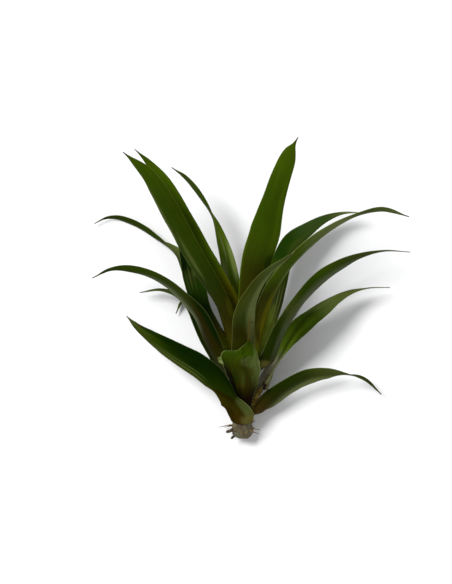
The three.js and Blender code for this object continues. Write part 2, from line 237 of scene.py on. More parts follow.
def bladeRelief(leaf, t, s, width):
    # keel along the middle, slow waves, and a margin that ripples
    seed = leaf["order"] * reliefSettings["seedStep"]
    opening = smoothStep(*reliefSettings["opening"], s)
    keel = math.exp(-((t / reliefSettings["keelReach"]) ** 2)) * smoothStep(*reliefSettings["keelRise"], s)
    acrossCount, alongCount = reliefSettings["waveCounts"]
    wave = noise.noise(Vector((t * acrossCount, s * alongCount, seed)))
    acrossCount, alongCount = reliefSettings["rippleCounts"]
    shifted = t * acrossCount + reliefSettings["rippleShift"]
    ripple = noise.noise(Vector((shifted, s * alongCount, seed))) * abs(t) ** 3
    moving = reliefSettings["wave"] * wave + reliefSettings["ripple"] * ripple
    return (moving * opening - reliefSettings["keel"] * keel) * min(width / reliefSettings["wholeFrom"], 1)


lobeSettings = {
    "depth": 1.1,
    "side": (0.26, 0.5),
    "swell": (-0.4, -0.06),      # along the blade, from the fold
    "drop": (-0.012, 0.014),
    "foldAt": 0.79,
    "foldBends": (1.1, 0.25),    # slopes of the fold's two ends
    "foldCorners": (0.5, 0.6),
    "wave": 0.35,
    "waveCount": 34,
    "waveMargin": (-0.7, -1),
    "waveFrom": (0.3, 0.5),
}


def lobedRelief(leaf, t, s, width):
    # one side bulges forward over its upper part and ends in a rounded fold; its margin is wavy
    u = (t + 1) / 2
    leftBend, rightBend = lobeSettings["foldBends"]
    leftCorner, rightCorner = lobeSettings["foldCorners"]
    fold = lobeSettings["foldAt"] - leftBend * max(leftCorner - u, 0) + rightBend * max(u - rightCorner, 0)
    swell, drop = ([fold + step for step in lobeSettings[end]] for end in ("swell", "drop"))
    lobe = smoothStep(*swell, s) - smoothStep(*drop, s)
    wave = math.sin(s * lobeSettings["waveCount"]) * smoothStep(*lobeSettings["waveMargin"], t)
    wave *= smoothStep(*lobeSettings["waveFrom"], s)
    lobe *= smoothStep(*lobeSettings["side"], u)
    return bladeRelief(leaf, t, s, width) + lobeSettings["wave"] * wave - lobeSettings["depth"] * lobe


creaseSettings = {
    "depth": 0.7,
    "at": 0.2,
    "lean": 0.1,
    "rise": (-0.004, 0.01),    # along the blade, from the crease
    "fade": (0.05, 0.3),
    "margin": (0.75, 1),
}


def creasedRelief(leaf, t, s, width):
    # the blade folds out over the edge of its own sheath
    crease = creaseSettings["at"] + creaseSettings["lean"] * t
    rise, fade = ([crease + step for step in creaseSettings[end]] for end in ("rise", "fade"))
    step = smoothStep(*rise, s) - smoothStep(*fade, s)
    inside = 1 - smoothStep(*creaseSettings["margin"], abs(t))
    return bladeRelief(leaf, t, s, width) - creaseSettings["depth"] * step * inside


leafShapes = {"lobed": lobedRelief, "creased": creasedRelief}


def buildLeaf(leaf, upperSkin, outerSkin):
    length, value = curveThrough(leafRows(leaf))
    shape = leafShapes.get(leaf.get("shape"), bladeRelief)
    stations, strips = bladeSettings["stations"], leaf.get("strips", bladeSettings["strips"])
    bm = bmesh.new()
    bm.loops.layers.uv.new("blade")
    # x runs across the blade, y along it
    bmesh.ops.create_grid(bm, x_segments=strips, y_segments=stations, size=1, calc_uvs=True)
    body = bm.verts.layers.deform.verify()
    sections = {}
    lowest = bladeSettings["thickness"] / 2 + bladeSettings["aboveFloor"]
    for vert in bm.verts:
        t, s = vert.co.x, (vert.co.y + 1) / 2
        station = round(s * stations)
        if station not in sections:
            sections[station] = leafSection(leaf, length, value, s * length)
        section = sections[station]
        point = sectionPoint(section, t, shape(leaf, t, s, section["width"]))
        point.z = max(point.z, lowest)
        vert.co = (point - planCentre) * mm
        vert[body][0] = 1 - smoothStep(bladeSettings["marginFrom"], 1, abs(t))
    mesh = meshFrom(bm, leaf["name"])
    mesh.materials.append(upperSkin)
    mesh.materials.append(outerSkin)
    piece = addPiece(leaf["name"], mesh, leaf["node"])
    piece.vertex_groups.new(name="body")
    wall = piece.modifiers.new("wall", "SOLIDIFY")
    wall.thickness = bladeSettings["thickness"] * mm
    wall.offset = 0
    wall.use_even_offset = False
    wall.material_offset = 1
    wall.vertex_group = "body"
    wall.thickness_vertex_group = bladeSettings["marginThickness"]


# the plant's tones as seen on screen, from young and shaded greens to dry browns; some tones also serve as
# painted sheen, painted highlights and painted light on shaded parts
tones = {
    "shadeGreen": (10, 26, 1), "bottleGreen": (20, 36, 1), "darkGreen": (30, 43, 2),
    "coolGreen": (25, 48, 2), "deepGreen": (38, 54, 2), "leafGreen": (46, 65, 2),
    "freshGreen": (56, 76, 3), "brightGreen": (68, 92, 4), "sunGreen": (82, 106, 20),
    "limeGreen": (110, 124, 6), "dullGreen": (38, 48, 8), "greyGreen": (55, 64, 20),
    "seaGreen": (44, 62, 22), "sage": (68, 78, 34), "paleSage": (84, 96, 46), "bloomAndSheen": (98, 108, 60),
    "greyBloomAndSheen": (86, 94, 66), "silver": (118, 130, 74), "paleSheen": (152, 168, 92),
    "pistachio": (130, 148, 42), "cream": (182, 176, 148), "sheathWhiteAndPaintedLight": (226, 218, 184),
    "mossOlive": (44, 48, 3), "darkOlive": (36, 38, 1), "olive": (44, 42, 2), "warmOlive": (60, 60, 4),
    "goldOlive": (80, 78, 4), "ochre": (94, 92, 3), "straw": (102, 96, 46), "tan": (86, 76, 30),
    "bark": (56, 42, 8), "umber": (32, 28, 1), "liverBrown": (21, 8, 0), "blackBrown": (12, 10, 1),
    "paleTan": (146, 138, 108), "rootTan": (120, 98, 66), "rootBrown": (58, 42, 26),
    "stemTan": (104, 92, 58), "stemGreen": (92, 96, 66), "stemBrown": (74, 56, 30),
    "stemShade": (40, 27, 14),
}


def linearTone(name):
    # the value that a shader takes
    def linear(c):
        c = c / 255
        return c / 12.92 if c <= 0.04045 else ((c + 0.055) / 1.055) ** 2.4

    return (*(linear(c) for c in tones[name]), 1)


class SkinNodes:
    # short helpers for one material's nodes

    def __init__(self, name):
        self.material = bpy.data.materials.new(name)
        self.material.use_nodes = True
        self.tree = self.material.node_tree
        self.shader = self.tree.nodes["Principled BSDF"]

    def node(self, kind, **values):
        made = self.tree.nodes.new(kind)
        for key, value in values.items():
            setattr(made, key, value)
        return made

    def put(self, socket, value):
        if isinstance(value, bpy.types.NodeSocket):
            self.tree.links.new(value, socket)
        else:
            socket.default_value = value

    def math(self, operation, a, b=0.0):
        made = self.node("ShaderNodeMath", operation=operation)
        self.put(made.inputs[0], a)
        self.put(made.inputs[1], b)
        return made.outputs[0]

    def rise(self, value, low, high, bottom=0.0, top=1.0):
        # smooth step from low to high
        made = self.node("ShaderNodeMapRange", interpolation_type="SMOOTHSTEP")
        self.put(made.inputs["Value"], value)
        made.inputs["From Min"].default_value = low
        made.inputs["From Max"].default_value = high
        made.inputs["To Min"].default_value = bottom
        made.inputs["To Max"].default_value = top
        return made.outputs["Result"]

    def mix(self, amount, a, b, kind="MIX"):
        made = self.node("ShaderNodeMix", data_type="RGBA", blend_type=kind)
        self.put(made.inputs["Factor"], amount)
        self.put(made.inputs[6], a)  # the colour sockets
        self.put(made.inputs[7], b)
        return made.outputs[2]

    def shade(self, amount, colour, factor):
        return self.mix(amount, colour, self.mix(1, colour, factor, "MULTIPLY"))

    def vector(self, x, y, z=0.0):
        made = self.node("ShaderNodeCombineXYZ")
        for socket, value in zip(made.inputs, (x, y, z)):
            self.put(socket, value)
        return made.outputs[0]

    def noise(self, vector, scale, detail=2.0, rough=0.5):
        made = self.node("ShaderNodeTexNoise")
        self.put(made.inputs["Vector"], vector)
        made.inputs["Scale"].default_value = scale
        made.inputs["Detail"].default_value = detail
        made.inputs["Roughness"].default_value = rough
        return made.outputs["Fac"]

    def ramp(self, value, stops):
        made = self.node("ShaderNodeValToRGB")
        self.put(made.inputs[0], value)
        elements = made.color_ramp.elements
        while len(elements) < len(stops):
            elements.new(0.5)
        for element, (place, toneName) in zip(elements, stops):
            element.position = place
            element.color = linearTone(toneName)
        return made.outputs[0]

    def bump(self, height, distance):
        made = self.node("ShaderNodeBump")
        self.put(made.inputs["Height"], height)
        made.inputs["Distance"].default_value = distance
        return made.outputs[0]


# each rise is a smooth step: from and to, then the amounts below and above
skinSettings = {
    "veins": 19,
    "veinDepth": 0.00007,    # metres
    "veinHeight": 0.25,
    "fibreHeight": 0.9,
    "marginStart": 0.945,
    "streaks": (15, 3),      # counts across and along the blade
    "streakDetail": 4,
    "streakRise": (0.42, 0.75, 0, 0.35),
    "streakGlow": (1.5, 1.42, 1.55, 1),
    "fibres": (62, 6),
    "fibreDetail": 3,
    "fibreRise": (0.35, 0.7, 0, 0.3),
    "fibreShade": (0.55, 0.58, 0.5, 1),
    "grain": 0.6,
    "cloudScale": 90,
    "cloudDetail": 3,
    "cloudRise": (0.4, 0.75, 0, 0.3),
    "cloudShade": (0.72, 0.68, 0.6, 1),
    "seedStep": 3.17,
    "slantCentre": 0.3,
    "markUnevenness": 0.7,
    "markEdge": (0.4, 1.15),
    "freckleScale": 620,
    "freckleSize": (0.12, 0.34),
    "freckleShare": (0.955, 0.97),
    "dryTip": (0.968, 0.995),
    "roughness": (0.25, 0.75, 0.4, 0.58),
}

# a face with no marks of its own; its tones run from the sheath at 0 to the tip at 1
plainOuter = {
    "along": [(0, "tan"), (0.16, "warmOlive"), (0.4, "deepGreen"), (0.75, "leafGreen"), (1, "freshGreen")],
    "wander": 0.09,      # how far the borders between the tones stray
    "slant": 0,
    "rim": 0.5,
    "rimTone": "silver",
    "freckles": 0.4,
    "specular": 0.016,
    "marks": [],         # across, along, reach across, reach along, tone, strength
}
plainUpper = {
    **plainOuter,
    "along": [(0, "tan"), (0.16, "greyGreen"), (0.4, "deepGreen"), (0.75, "deepGreen"), (1, "greyGreen")],
}


def lengthwise(skin, across, along, counts, detail, seed):
    # grain drawn out along the blade
    stretched = [skin.math("MULTIPLY", value, count) for value, count in zip((across, along), counts)]
    return skin.noise(skin.vector(*stretched, seed), 1, detail, skinSettings["grain"])


def markMask(skin, blade, oval, uneven):
    # soft oval on the blade map
    across, along, reachAcross, reachAlong = oval
    fitted = skin.node("ShaderNodeMapping", vector_type="TEXTURE")
    skin.put(fitted.inputs["Vector"], blade)
    fitted.inputs["Location"].default_value = (across, along, 0)
    fitted.inputs["Scale"].default_value = (reachAcross, reachAlong, 1)
    away = skin.node("ShaderNodeVectorMath", operation="LENGTH")
    skin.put(away.inputs[0], fitted.outputs[0])
    return skin.rise(skin.math("ADD", away.outputs["Value"], uneven), *skinSettings["markEdge"], 1, 0)


def freckleMask(skin, place):
    # sparse round specks
    cells = skin.node("ShaderNodeTexVoronoi")
    skin.put(cells.inputs["Vector"], place)
    cells.inputs["Scale"].default_value = skinSettings["freckleScale"]
    pick = skin.node("ShaderNodeSeparateColor")
    skin.put(pick.inputs[0], cells.outputs["Color"])
    dot = skin.rise(cells.outputs["Distance"], *skinSettings["freckleSize"], 1, 0)
    return skin.math("MULTIPLY", dot, skin.rise(pick.outputs[0], *skinSettings["freckleShare"]))


def leafSkin(name, look, seed):
    # blade map: x across from one margin to the other, y from the sheath to the tip
    skin = SkinNodes(name)
    blade = skin.node("ShaderNodeUVMap", uv_map="blade").outputs[0]
    separate = skin.node("ShaderNodeSeparateXYZ")
    skin.put(separate.inputs[0], blade)
    across, along = separate.outputs[:2]
    place = skin.node("ShaderNodeTexCoord").outputs["Object"]
    cloud = skin.noise(place, skinSettings["cloudScale"], skinSettings["cloudDetail"])
    streak = lengthwise(skin, across, along, skinSettings["streaks"], skinSettings["streakDetail"], seed)
    fibre = lengthwise(skin, across, along, skinSettings["fibres"], skinSettings["fibreDetail"], seed)

    # tones from sheath to tip, with an uneven border between them
    stray = skin.math("SUBTRACT", streak, 0.5)
    shifted = skin.math("ADD", along, skin.math("MULTIPLY", stray, look["wander"]))
    if look["slant"]:
        offset = skin.math("SUBTRACT", across, skinSettings["slantCentre"])
        shifted = skin.math("SUBTRACT", shifted, skin.math("MULTIPLY", offset, look["slant"]))
    body = skin.ramp(shifted, look["along"])

    # waxy bloom and painted sheen, painted shade and painted light in bands, and stains
    uneven = skin.math("MULTIPLY", stray, skinSettings["markUnevenness"])
    for *oval, toneName, strength in look["marks"]:
        amount = skin.math("MULTIPLY", markMask(skin, blade, oval, uneven), strength)
        body = skin.mix(amount, body, linearTone(toneName))

    # fine fibres and soft clouding
    body = skin.shade(skin.rise(fibre, *skinSettings["fibreRise"]), body, skinSettings["fibreShade"])
    body = skin.shade(skin.rise(streak, *skinSettings["streakRise"]), body, skinSettings["streakGlow"])
    body = skin.shade(skin.rise(cloud, *skinSettings["cloudRise"]), body, skinSettings["cloudShade"])

    # brown freckles, pale thin margin and dry tip
    freckle = skin.math("MULTIPLY", freckleMask(skin, place), look["freckles"])
    body = skin.mix(freckle, body, linearTone("bark"))
    edge = skin.math("ABSOLUTE", skin.math("SUBTRACT", skin.math("MULTIPLY", across, 2), 1))
    rim = skin.math("MULTIPLY", skin.rise(edge, skinSettings["marginStart"], 1), look["rim"])
    body = skin.mix(rim, body, linearTone(look["rimTone"]))
    body = skin.mix(skin.rise(along, *skinSettings["dryTip"]), body, linearTone("bark"))

    skin.put(skin.shader.inputs["Base Color"], body)
    skin.put(skin.shader.inputs["Roughness"], skin.rise(streak, *skinSettings["roughness"]))
    skin.shader.inputs["Specular IOR Level"].default_value = look["specular"]
    wave = skin.math("SINE", skin.math("MULTIPLY", across, 2 * math.pi * skinSettings["veins"]))
    veins = skin.math("MULTIPLY", wave, skinSettings["veinHeight"])
    height = skin.math("ADD", veins, skin.math("MULTIPLY", fibre, skinSettings["fibreHeight"]))
    skin.put(skin.shader.inputs["Normal"], skin.bump(height, skinSettings["veinDepth"]))
    return skin.material


# leaves in the order in which they are set on the stem; each row is x, y, height, width, roll, cupping

lowLeftLeaf = {
    "name": "lowLeftLeaf", "node": "leaf_01", "azimuth": -24, "order": 1, "sheath": 8, "flare": 0.44,
    "widths": (24.6, 25.2), "strips": 44, "shape": "creased",
    "rows": [
        (-9.4, 19.4, 30.6, 12.6, 190, 84), (-14.1, 28, 36.2, 13.6, 190, 74),
        (-21, 35.2, 38.5, 16.9, 192, 60), (-30.3, 42.3, 37, 16.8, 194, 52), (-40, 48, 33, 15.3, 196, 46),
        (-49.8, 54, 28, 12.8, 196, 42), (-59.7, 60.7, 22.5, 8.8, 196, 38),
        (-68.4, 67.1, 18.5, 4.8, 196, 30), (-75.7, 74.4, 15, 1.1, 196, 10),
    ],
    "outer": {
        "slant": 0.2, "wander": 0.03, "specular": 0,
        "along": [
            (0, "bark"), (0.15, "olive"), (0.205, "umber"), (0.225, "darkGreen"), (0.3, "bottleGreen"),
            (0.45, "shadeGreen"), (0.62, "bottleGreen"), (0.76, "deepGreen"), (1, "sage"),
        ],
        # the first three marks are painted shade on the upper half, painted light on the lower half and
        # painted shade near the tip
        "marks": [
            (0.1, 0.6, 0.42, 0.36, "shadeGreen", 1), (1, 0.66, 0.34, 0.4, "greyGreen", 0.9),
            (0.04, 0.83, 0.3, 0.12, "bottleGreen", 0.9), (0.7, 0.62, 0.03, 0.3, "sage", 0.8),
            (0.82, 0.6, 0.03, 0.28, "sage", 0.8), (0.76, 0.62, 0.022, 0.25, "bottleGreen", 0.6),
            (0.6, 0.7, 0.02, 0.22, "deepGreen", 0.8), (1, 0.31, 0.16, 0.06, "tan", 0.7),
            (0.06, 0.1, 0.26, 0.08, "paleSage", 0.8), (0.16, 0.15, 0.16, 0.05, "sage", 0.7),
            (0.75, 0.06, 0.3, 0.1, "umber", 0.7), (0.53, 0.2, 0.035, 0.008, "blackBrown", 0.9),
            (0, 0.13, 0.035, 0.08, "silver", 0.7), (0.1, 0.02, 0.34, 0.07, "straw", 0.9),
            (0.1, 0.9, 0.2, 0.024, "bark", 0.9),
        ],
    },
}

lowRightLeaf = {
    "name": "lowRightLeaf", "node": "leaf_02", "azimuth": 88, "order": 2, "sheath": 4, "flare": 0.4,
    "widths": (9.2, 12.4),
    "rows": [
        (10.9, 11.2, 12.2, 16.5, 121, 104), (13.8, 13.7, 13.8, 18.6, 131, 96),
        (20.5, 19.6, 16.2, 19.2, 135, 84), (30.2, 27.2, 18.3, 16.4, 138, 68),
        (42.9, 33.9, 19, 14.2, 141, 56), (55.1, 36.2, 18, 10.6, 137, 50), (68, 36.2, 15, 5, 100, 40),
        (78.2, 33.7, 12, 4, 55, 30), (90, 23.5, 7, 1, 50, 10),
    ],
    "outer": {
        "along": [
            (0, "tan"), (0.1, "bark"), (0.2, "darkOlive"), (0.35, "darkGreen"), (0.45, "dullGreen"),
            (0.55, "greyGreen"), (0.65, "sage"), (0.8, "sage"), (1, "bloomAndSheen"),
        ],
        # the first mark is painted sheen along the lower margin
        "marks": [
            (0.1, 0.4, 0.42, 0.5, "bloomAndSheen", 0.9), (0.95, 0.32, 0.2, 0.2, "bottleGreen", 0.6),
            (1, 0.13, 0.1, 0.08, "tan", 0.8),
        ],
    },
}

backLeaf = {
    "name": "backLeaf", "node": "leaf_03", "azimuth": 165, "order": 3, "sheath": 20, "flare": 0.4,
    "widths": (12, 15),
    "rows": [
        (5, 58, 2.6, 15, 5, 45), (10, 82, 1.6, 14, 0, 35), (13, 104, 0.29, 11, 0, 14),
        (15.5, 122, 0.29, 8, 0, 12), (17, 140, 0.5, 1.2, 0, 10),
    ],
}

shortFrontLeaf = {
    "name": "shortFrontLeaf", "node": "leaf_04", "azimuth": 0, "order": 4, "sheath": 12, "flare": 0.31,
    "widths": (10.6, 16), "ease": 10, "strips": 60, "shape": "lobed",
    "rows": [
        (0.7, 30, 32.5, 21.8, 180, 95), (0.4, 37, 37, 24.6, 180, 80), (-1.8, 44.7, 41, 26.9, 180, 68),
        (-1, 47.1, 42, 24.8, 180, 62), (2.7, 49, 42.9, 15.6, 180, 50), (4.4, 53, 44.6, 9.4, 180, 35),
        (4, 59.2, 47, 1.6, 180, 10),
    ],
    "outer": {
        "wander": 0.12, "specular": 0.01, "rim": 0.8, "freckles": 0.1,
        "along": [
            (0, "liverBrown"), (0.2, "liverBrown"), (0.3, "umber"), (0.4, "olive"), (0.5, "mossOlive"),
            (0.65, "mossOlive"), (0.8, "leafGreen"), (0.95, "deepGreen"),
        ],
        # the broad pale mark near the first margin is painted sheen where the blade bends towards the
        # light; the black-brown band at the far margin is painted shade over the sheath's own dark brown;
        # the small pale marks at the fold are a painted highlight along it
        "marks": [
            (0.03, 0.64, 0.33, 0.32, "paleSage", 0.95), (0.95, 0.72, 0.4, 0.14, "deepGreen", 0.7),
            (1, 0.42, 0.36, 0.3, "blackBrown", 1), (0.72, 0.5, 0.1, 0.14, "darkGreen", 0.6),
            (0.65, 0.25, 0.2, 0.12, "blackBrown", 0.7), (0.28, 0.54, 0.1, 0.08, "warmOlive", 0.6),
            (0.53, 0.46, 0.075, 0.13, "greyGreen", 0.65), (0, 0.6, 0.05, 0.28, "silver", 0.7),
            (0.38, 0.73, 0.15, 0.1, "sage", 0.75), (0.47, 0.96, 0.2, 0.04, "darkGreen", 0.6),
            (0.42, 0.74, 0.06, 0.045, "paleSage", 0.5), (0.34, 0.66, 0.05, 0.03, "sage", 0.5),
        ],
    },
}

innerLowLeftLeaf = {
    "name": "innerLowLeftLeaf", "node": "leaf_05", "azimuth": -105, "order": 5, "sheath": 12,
    "flare": 0.4, "widths": (12, 13),
    "rows": [
        (-19.5, 46, 13.8, 12, 300, 70), (-26, 58, 13.6, 12.4, 298, 62), (-31, 68.8, 13.2, 11, 298, 56),
        (-36.4, 80.6, 13, 8.2, 298, 52), (-43.1, 87.8, 12, 6.8, 302, 46), (-53, 91.2, 10, 3.6, 302, 40),
        (-67, 89.7, 8, 1, 300, 10),
    ],
    "outer": {
        "along": [(0, "greyGreen"), (0.3, "sage"), (0.45, "darkGreen"), (1, "greyGreen")],
    },
    "upper": {
        "along": [
            (0, "straw"), (0.3, "paleSage"), (0.42, "freshGreen"), (0.55, "leafGreen"), (0.7, "sage"),
            (0.85, "greyGreen"), (1, "sage"),
        ],
        "marks": [(0.85, 0.46, 0.34, 0.16, "silver", 0.8)],
    },
}

rightLeafLower = {
    "name": "rightLeafLower", "node": "leaf_06", "azimuth": 98, "order": 6, "sheath": 7, "flare": 0.5,
    "widths": (12, 13),
    "rows": [
        (16.2, 32.8, 16.3, 16, 68, 95), (20.1, 40.7, 17.2, 15.2, 69, 92),
        (25.1, 48.3, 18.2, 15.8, 68, 86), (30.6, 56.8, 19, 18.2, 60, 70), (37.2, 65.2, 20, 18.8, 50, 58),
        (44.6, 72, 21, 15.8, 46, 52), (53, 78.7, 21, 13, 45, 48), (61.4, 85, 20, 8.8, 48, 44),
        (70.5, 89.7, 18, 5.8, 58, 40), (81, 92.4, 16, 3, 80, 30), (95.5, 93, 13, 0.9, 90, 10),
    ],
    "outer": {
        "along": [
            (0, "tan"), (0.12, "paleSage"), (0.25, "bloomAndSheen"), (0.35, "sage"), (0.5, "deepGreen"),
            (1, "sage"),
        ],
    },
    "upper": {
        # the pale base tones and the whitish mark at the base are the sheath's own pale colour, lifted
        # further as painted light where the trough lies in shade
        "along": [
            (0, "straw"), (0.1, "cream"), (0.18, "cream"), (0.26, "silver"), (0.32, "sunGreen"),
            (0.45, "leafGreen"), (0.56, "deepGreen"), (0.66, "sage"), (1, "sage"),
        ],
        "marks": [
            (0.05, 0.64, 0.3, 0.12, "paleSage", 0.7), (0.5, 0.5, 0.16, 0.06, "deepGreen", 0.5),
            (0.92, 0.44, 0.36, 0.13, "darkGreen", 0.75), (0.38, 0.18, 0.22, 0.1, "sheathWhiteAndPaintedLight", 0.6),
        ],
    },
}

hiddenLowLeftLeaf = {
    "name": "hiddenLowLeftLeaf", "node": "leaf_07", "azimuth": -156, "order": 7, "sheath": 14,
    "flare": 0.36, "widths": (10.5, 12.5),
    "rows": [
        (-17.5, 60, 5, 10, 335, 55), (-23.5, 74, 2.9, 8.5, 335, 50), (-29.5, 84.5, 2.3, 6.5, 322, 48),
        (-35.5, 87.3, 3, 5, 306, 45), (-40, 83, 3, 3.6, 302, 40), (-43.5, 76, 3, 0.9, 300, 10),
    ],
}

leftArchLeaf = {
    "name": "leftArchLeaf", "node": "leaf_08", "azimuth": -60, "order": 8, "sheath": 16, "flare": 0.4,
    "widths": (12, 14),
    "rows": [
        (-19.2, 52.5, 30, 15.8, 230, 80), (-23.9, 63.6, 34, 16.2, 230, 72),
        (-29.4, 74.9, 37, 14.4, 230, 64), (-39.2, 85.7, 39, 11.8, 233, 58),
        (-49.3, 94.7, 39, 10.2, 234, 55), (-60.7, 101.1, 37, 8.8, 234, 50),
        (-73.1, 104.5, 34, 7.6, 232, 45), (-85.9, 104.5, 30, 4, 238, 40), (-98, 99, 26, 0.9, 240, 10),
    ],
    "outer": {
        "specular": 0.01,
        "along": [
            (0, "sage"), (0.15, "darkOlive"), (0.3, "umber"), (0.43, "umber"), (0.53, "dullGreen"),
            (0.62, "dullGreen"), (0.75, "deepGreen"), (0.87, "deepGreen"), (1, "sage"),
        ],
        # the broad grey band is painted sheen
        "marks": [(0.04, 0.38, 0.3, 0.15, "shadeGreen", 1), (1, 0.57, 0.6, 0.27, "greyBloomAndSheen", 0.95)],
    },
}

rightArchLeaf = {
    "name": "rightArchLeaf", "node": "leaf_09", "azimuth": 72, "order": 9, "sheath": 12, "flare": 0.4,
    "widths": (13, 15),
    "rows": [
        (17.3, 45, 26, 16, 130, 85), (20.2, 52, 28, 16, 131, 78), (24, 62, 30, 15.4, 128, 70),
        (30.6, 73.6, 32, 15.2, 126, 62), (39, 85.5, 33.5, 14.6, 126, 58), (50.1, 97.4, 34, 15, 128, 55),
        (62, 106, 34, 12.2, 128, 50), (76.1, 112.9, 32, 7.4, 120, 45), (92, 116.6, 29, 3.4, 104, 40),
        (108.5, 116, 25, 1, 90, 10),
    ],
    "outer": {
        "specular": 0.008,
        "along": [
            (0, "sage"), (0.1, "mossOlive"), (0.2, "darkGreen"), (0.3, "darkGreen"), (0.4, "greyGreen"),
            (0.5, "deepGreen"), (0.6, "leafGreen"), (0.75, "greyGreen"), (0.9, "sage"), (1, "paleSage"),
        ],
        # the broad grey mark and the narrow sage mark across the middle are painted sheen
        "marks": [
            (0.16, 0.46, 0.54, 0.42, "greyBloomAndSheen", 1), (0, 0.28, 0.12, 0.12, "silver", 0.8),
            (0.55, 0.4, 0.2, 0.08, "sage", 0.7), (0.62, 0.135, 0.34, 0.022, "straw", 0.75),
            (0.96, 0.3, 0.2, 0.1, "bottleGreen", 0.6),
        ],
    },
}

farLeftLeaf = {
    "name": "farLeftLeaf", "node": "leaf_10", "azimuth": -145, "order": 10, "sheath": 16, "flare": 0.4,
    "widths": (12, 13),
    "rows": [
        (-17.5, 64, 10, 10, 330, 52), (-25.5, 79, 7.5, 10, 332, 50), (-30.3, 90.9, 6, 10.6, 332, 50),
        (-35.9, 103.4, 5, 11.2, 324, 54), (-41.6, 113.7, 4.4, 10.4, 308, 68),
        (-48.5, 119.2, 4.8, 9.8, 284, 96), (-56.1, 124.6, 4, 8.4, 254, 70),
        (-64.4, 130.9, 3.2, 7.2, 238, 46), (-74.1, 135.9, 3, 6.2, 234, 40),
        (-82, 138.3, 3, 4.5, 234, 36), (-89, 138, 3.1, 2.7, 236, 30), (-96.5, 134.5, 3.1, 0.9, 240, 10),
    ],
    "outer": {
        "along": [
            (0, "greyGreen"), (0.3, "deepGreen"), (0.6, "greyGreen"), (0.7, "deepGreen"),
            (0.85, "deepGreen"), (1, "greyGreen"),
        ],
        "marks": [(0.75, 0.72, 0.2, 0.2, "sage", 0.7)],
    },
    "upper": {
        "along": [
            (0, "greyGreen"), (0.3, "dullGreen"), (0.5, "greyGreen"), (0.6, "paleSage"),
            (0.66, "paleSage"), (1, "greyGreen"),
        ],
    },
}

rightLeafBehind = {
    "name": "rightLeafBehind", "node": "leaf_11", "azimuth": 140, "order": 11, "sheath": 15,
    "flare": 0.4, "widths": (12, 15.4),
    "rows": [
        (14.2, 66, 15, 17.4, 35, 60), (18.7, 80, 17, 16.4, 30, 52), (22.5, 95, 18, 15.5, 28, 50),
        (26, 109.2, 18, 15.4, 28, 48), (32.1, 122, 17, 14.6, 30, 45), (42.7, 130.6, 16, 11.2, 35, 42),
        (54.5, 137.7, 15, 7.1, 45, 38), (66, 141.2, 14, 4.2, 65, 30), (79, 141.6, 13, 1, 80, 10),
    ],
    "upper": {
        "specular": 0.005,
        # the pale tones at the base are lifted as painted light, since the base lies in shade
        "along": [
            (0, "pistachio"), (0.26, "pistachio"), (0.36, "sage"), (0.48, "leafGreen"),
            (0.55, "coolGreen"), (0.64, "coolGreen"), (0.72, "seaGreen"), (0.82, "seaGreen"),
            (0.9, "sage"), (1, "silver"),
        ],
        # the two thin pale streaks are painted sheen
        "marks": [
            (0.75, 0.62, 0.3, 0.1, "greyGreen", 0.5), (0.84, 0.3, 0.04, 0.16, "paleSheen", 0.7),
            (0.68, 0.28, 0.035, 0.16, "paleSheen", 0.6), (0.94, 0.36, 0.05, 0.12, "greyGreen", 0.6),
        ],
    },
}

darkLeafBehind = {
    "name": "darkLeafBehind", "node": "leaf_12", "azimuth": -115, "order": 12, "sheath": 14,
    "flare": 0.4, "widths": (12, 13),
    "rows": [
        (-21, 65.7, 19, 12.8, 325, 60), (-27.1, 78.9, 19.5, 13.3, 335, 54),
        (-30.6, 91, 19.5, 14.2, 340, 48), (-33.7, 102.9, 19, 13.6, 342, 44),
        (-36.4, 115, 18, 11, 342, 40), (-39.7, 126, 16, 7.4, 342, 30), (-44, 137, 14, 1, 342, 10),
    ],
    "upper": {
        "wander": 0.14, "specular": 0.02,
        "along": [
            (0, "sunGreen"), (0.15, "limeGreen"), (0.25, "ochre"), (0.35, "darkGreen"),
            (0.42, "shadeGreen"), (0.5, "bottleGreen"), (0.57, "coolGreen"), (0.64, "dullGreen"),
            (0.7, "shadeGreen"), (1, "bottleGreen"),
        ],
        # the four narrow pale marks are painted highlights on the glossy face
        "marks": [
            (0.2, 0.61, 0.08, 0.09, "seaGreen", 0.9), (0.38, 0.63, 0.06, 0.09, "sage", 0.7),
            (0.56, 0.6, 0.06, 0.07, "seaGreen", 0.8), (0.62, 0.66, 0.14, 0.035, "sage", 0.6),
        ],
    },
}

frontBentLeaf = {
    "name": "frontBentLeaf", "node": "leaf_13", "azimuth": -2, "order": 13, "sheath": 14, "flare": 0.4,
    "widths": (12, 15),
    "rows": [
        (0.5, 62, 43, 16, 174, 84), (1, 71, 49, 15.5, 166, 74), (3, 80.5, 54, 14, 152, 66),
        (7, 89, 57, 12, 140, 60), (12, 97, 59, 10.3, 132, 55), (18.5, 104, 60, 8, 126, 48),
        (26, 110, 61, 5, 124, 40), (35, 117, 61, 1, 122, 10),
    ],
    "outer": {
        "along": [
            (0, "warmOlive"), (0.2, "darkOlive"), (0.32, "darkOlive"), (0.42, "dullGreen"),
            (0.55, "greyGreen"), (0.67, "greyGreen"), (0.8, "sage"), (1, "sage"),
        ],
        # the first, broad grey mark is painted sheen
        "marks": [
            (0.16, 0.66, 0.38, 0.44, "bloomAndSheen", 0.9), (0.28, 0.36, 0.1, 0.13, "tan", 0.7),
            (0.05, 0.74, 0.07, 0.26, "silver", 0.6), (1, 0.6, 0.24, 0.24, "mossOlive", 0.75),
            (0.75, 0.34, 0.15, 0.1, "umber", 0.5), (0.18, 0.4, 0.06, 0.008, "blackBrown", 0.8),
        ],
    },
}

